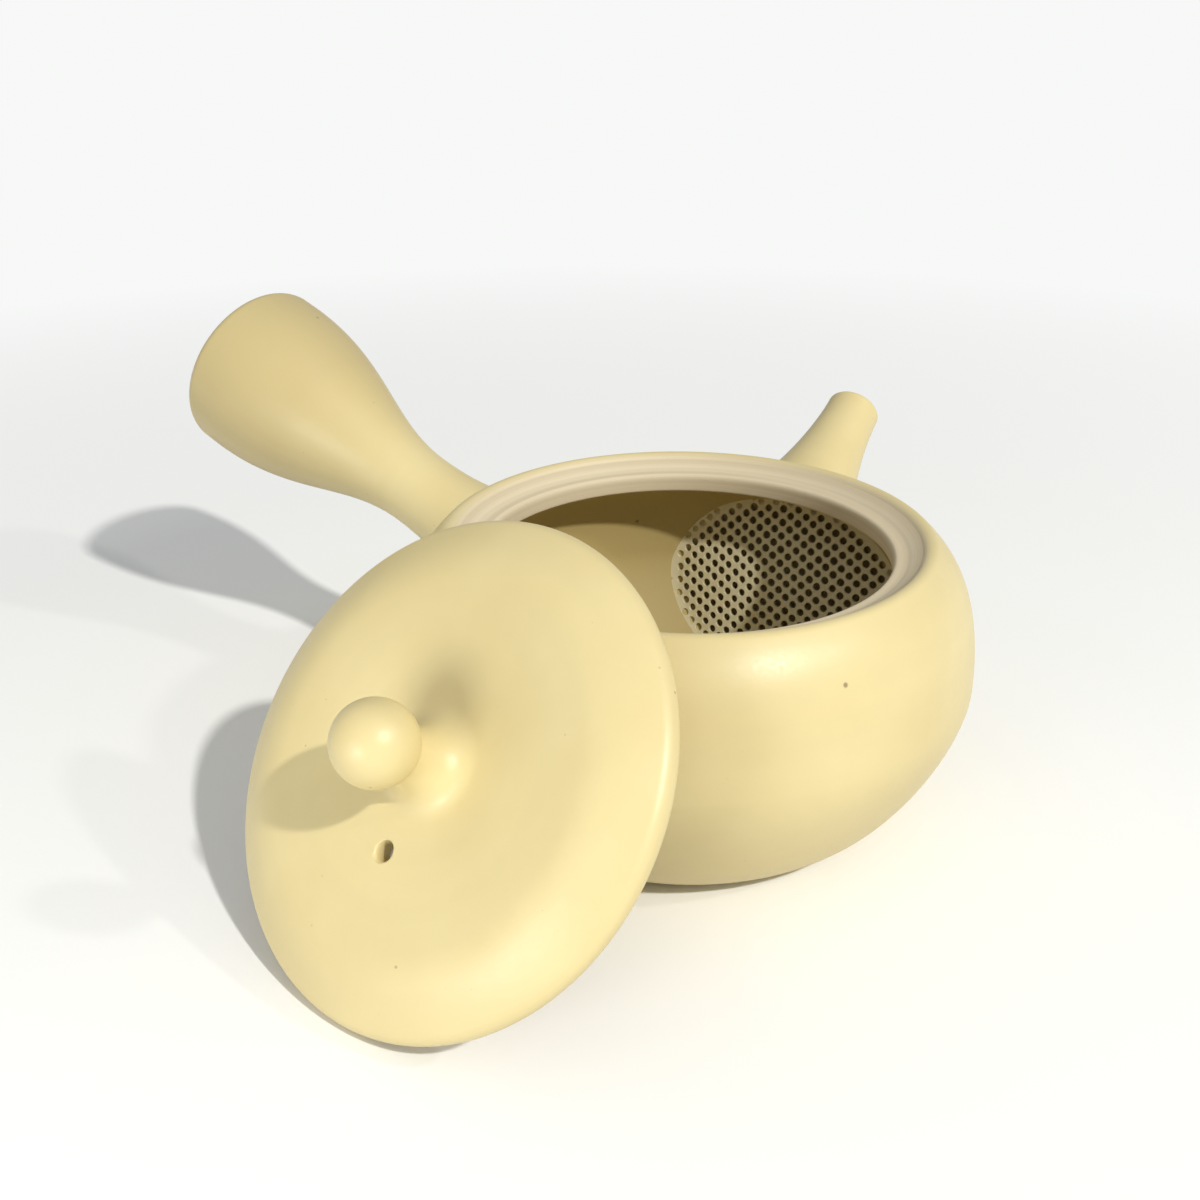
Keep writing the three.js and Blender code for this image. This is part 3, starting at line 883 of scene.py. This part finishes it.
def clay_material(name, colour, raw_colour, roughness, grain, lines):
    """Fine unglazed clay: a slow change of tone, faint bands and lines from the wheel, sparse dark specks,
    and grain. Masks on the mesh say where it is the unburnished inside, rougher and darker, partly as
    painted shade; where it is lapped for the lid's seat; and where the handle is painted darker towards its
    end as painted shade."""
    material = bpy.data.materials.new(name)
    material.use_nodes = True
    tree = material.node_tree
    shader = tree.nodes["Principled BSDF"]
    place = node(tree, "ShaderNodeTexCoord").outputs["Object"]
    raw, lapped, dusk = mask(tree, "raw"), mask(tree, "lapped"), mask(tree, "dusk")

    # Lines and bands follow the distance from the piece's own axis and the height along it
    turned = node(tree, "ShaderNodeAttribute", attribute_name="turned").outputs["Vector"]
    turning = noise(tree, turned, turning_scale, 3.0)
    bands = stretch(tree, noise(tree, turned, band_scale, 1.0), 0.35, 0.7, 0.0, band_strength)

    # Tone
    clouds = stretch(tree, noise(tree, place, cloud_scale, 4.0), 0.36, 0.64)
    tone = blend_colour(tree, clouds, shade(colour, cloud_shares), colour)
    tone = blend_colour(tree, bands, tone, shade(colour, band_shares))
    # Painted shade: the handle darker towards its end, where less light reaches it
    tone = blend_colour(tree, dusk, tone, shade(colour, dusk_shares))
    # The unburnished inside: rougher, and darker partly as painted shade
    tone = blend_colour(tree, raw, tone, raw_colour)
    ground = blend_colour(tree, stretch(tree, turning, 0.35, 0.65), *ground_colours)
    tone = blend_colour(tree, maths(tree, "MULTIPLY", lapped, ground_strength), tone, ground)
    for scale, threshold, radius, strength, dark in specks:
        cells = node(tree, "ShaderNodeTexVoronoi", Scale=scale)
        link(tree, place, cells.inputs["Vector"])
        size = stretch(tree, noise(tree, place, scale * 0.7, 1.0), threshold, threshold + 0.15, 0.0, radius)
        depth = maths(tree, "SUBTRACT", size, cells.outputs["Distance"])
        tone = blend_colour(tree, stretch(tree, depth, 0.0, 0.05, 0.0, strength), tone, dark)
    link(tree, tone, shader.inputs["Base Color"])

    # Sheen
    fine = noise(tree, place, grain_scale, 3.0, 0.6)
    sheen = stretch(tree, fine, 0.3, 0.7, roughness - 0.05, roughness + 0.06)
    rougher = maths(tree, "MULTIPLY", maths(tree, "MAXIMUM", raw, lapped), rough_gain)
    link(tree, maths(tree, "ADD", sheen, rougher), shader.inputs["Roughness"])

    # Relief
    line_bump = node(tree, "ShaderNodeBump", Distance=line_relief)
    link(tree, turning, line_bump.inputs["Height"])
    line_strength = maths(tree, "ADD", maths(tree, "MULTIPLY", lapped, lapped_lines), lines)
    link(tree, line_strength, line_bump.inputs["Strength"])
    grain_bump = node(tree, "ShaderNodeBump", Strength=grain, Distance=grain_relief)
    link(tree, fine, grain_bump.inputs["Height"])
    link(tree, line_bump.outputs["Normal"], grain_bump.inputs["Normal"])
    link(tree, grain_bump.outputs["Normal"], shader.inputs["Normal"])
    return material


def dress(piece, material, slot, body, *nodes):
    piece.data.materials.clear()
    piece.data.materials.append(material)
    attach(piece, body)
    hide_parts(*nodes)


# The darker colour of the unburnished inside is partly its own and partly painted shade
clay = clay_material("burnished clay", colour=(0.745, 0.625, 0.32), raw_colour=(0.48, 0.375, 0.15),
                     roughness=0.4, grain=0.2, lines=0.06)
# Greyer matt clay, lifted paler as painted light; its darker colour is painted shade in the holes
matt_clay = clay_material("strainer clay", colour=(0.76, 0.7, 0.47), raw_colour=(0.33, 0.27, 0.13),
                          roughness=0.75, grain=0.4, lines=0.0)

dress(build_bowl(), clay, "clay", "pot", "bowl")
dress(build_spout(), clay, "clay", "pot", "spout")
dress(build_handle(), clay, "clay", "pot", "handle")
dress(build_strainer(), matt_clay, "strainer_clay", "pot", "strainer")
dress(build_lid(), clay, "clay", "lid", "lid", "knob")

# Stage, in metres
studio_white = (0.93, 0.94, 0.93, 1)
floor_half = 3.0
floor_lit = (0.72, 0.72, 0.69)
floor_seen = (0.97, 0.97, 0.95)
floor_fade = (0.16, 0.42)
sky_colour = (0.93, 0.96, 0.98, 1)
sky_strength = 0.42


def mix_shaders(tree, factor, first, second, target):
    both = node(tree, "ShaderNodeMixShader")
    link(tree, factor, both.inputs["Fac"])
    link(tree, first, both.inputs[1])
    link(tree, second, both.inputs[2])
    link(tree, both.outputs["Shader"], target)


def build_floor():
    mesh = bpy.data.meshes.new("floor")
    corners = [(x * floor_half, y * floor_half, 0) for x, y in ((-1, -1), (1, -1), (1, 1), (-1, 1))]
    mesh.from_pydata(corners, [], [(0, 1, 2, 3)])
    floor = bpy.data.objects.new("floor", mesh)
    bpy.context.scene.collection.objects.link(floor)
    material = bpy.data.materials.new("floor")
    material.use_nodes = True
    tree = material.node_tree
    shader = tree.nodes["Principled BSDF"]
    shader.inputs["Roughness"].default_value = 0.9

    # Seen by the camera or in a sheen, the floor is paler, and fades to white away from the object
    reach = node(tree, "ShaderNodeVectorMath", operation="LENGTH")
    link(tree, node(tree, "ShaderNodeTexCoord").outputs["Object"], reach.inputs[0])
    fade = stretch(tree, reach.outputs["Value"], *floor_fade)
    paths = node(tree, "ShaderNodeLightPath").outputs
    seen = maths(tree, "MAXIMUM", paths["Is Camera Ray"], paths["Is Glossy Ray"])
    link(tree, blend_colour(tree, seen, floor_lit, floor_seen), shader.inputs["Base Color"])
    white = node(tree, "ShaderNodeEmission", Strength=1.0, Color=studio_white)
    faded = maths(tree, "MULTIPLY", fade, seen)
    surface = tree.nodes["Material Output"].inputs["Surface"]
    mix_shaders(tree, faded, shader.outputs["BSDF"], white.outputs["Emission"], surface)
    mesh.materials.append(material)


def build_world():
    world = bpy.data.worlds.new("studio")
    bpy.context.scene.world = world
    world.use_nodes = True
    tree = world.node_tree
    light = tree.nodes["Background"]
    light.inputs["Color"].default_value = sky_colour
    light.inputs["Strength"].default_value = sky_strength

    # The camera alone sees it white
    white = node(tree, "ShaderNodeBackground", Strength=1.0, Color=studio_white)
    camera_ray = node(tree, "ShaderNodeLightPath").outputs["Is Camera Ray"]
    surface = tree.nodes["World Output"].inputs["Surface"]
    mix_shaders(tree, camera_ray, light.outputs["Background"], white.outputs["Background"], surface)


def area_lamp(name, place, target, size, brightness, colour):
    """A round lamp, whose brightness is what a white surface that faces it at the target shows."""
    data = bpy.data.lights.new(name, "AREA")
    data.shape = "DISK"
    data.size = size
    away = Vector(place) - Vector(target)
    data.energy = brightness * math.pi**2 * away.length_squared
    data.color = colour
    lamp = bpy.data.objects.new(name, data)
    bpy.context.scene.collection.objects.link(lamp)
    lamp.location = place
    lamp.rotation_mode = "QUATERNION"
    lamp.rotation_quaternion = (-away).to_track_quat("-Z", "Y")


def build_camera():
    data = bpy.data.cameras.new("camera")
    data.lens = camera_lens
    data.sensor_width = 36
    data.clip_start = 0.01
    camera = bpy.data.objects.new("camera", data)
    bpy.context.scene.collection.objects.link(camera)
    forward = Vector(camera_forward).normalized()
    right = Vector(camera_right).normalized()
    up = right.cross(forward)
    placed = Matrix((right, up, -forward)).transposed().to_4x4()
    placed.translation = Vector(camera_place) * MM
    camera.matrix_world = placed
    bpy.context.scene.camera = camera


build_floor()
build_world()
area_lamp("key", key_place, sun_target, size=0.1, brightness=0.71, colour=sun_colour)
area_lamp("second", second_place, sun_target, size=0.05, brightness=0.12, colour=sun_colour)
area_lamp("window", window_place, window_target, size=0.15, brightness=0.52, colour=(1.0, 1.0, 1.0))
build_camera()
bpy.context.scene.view_settings.view_transform = "Standard"
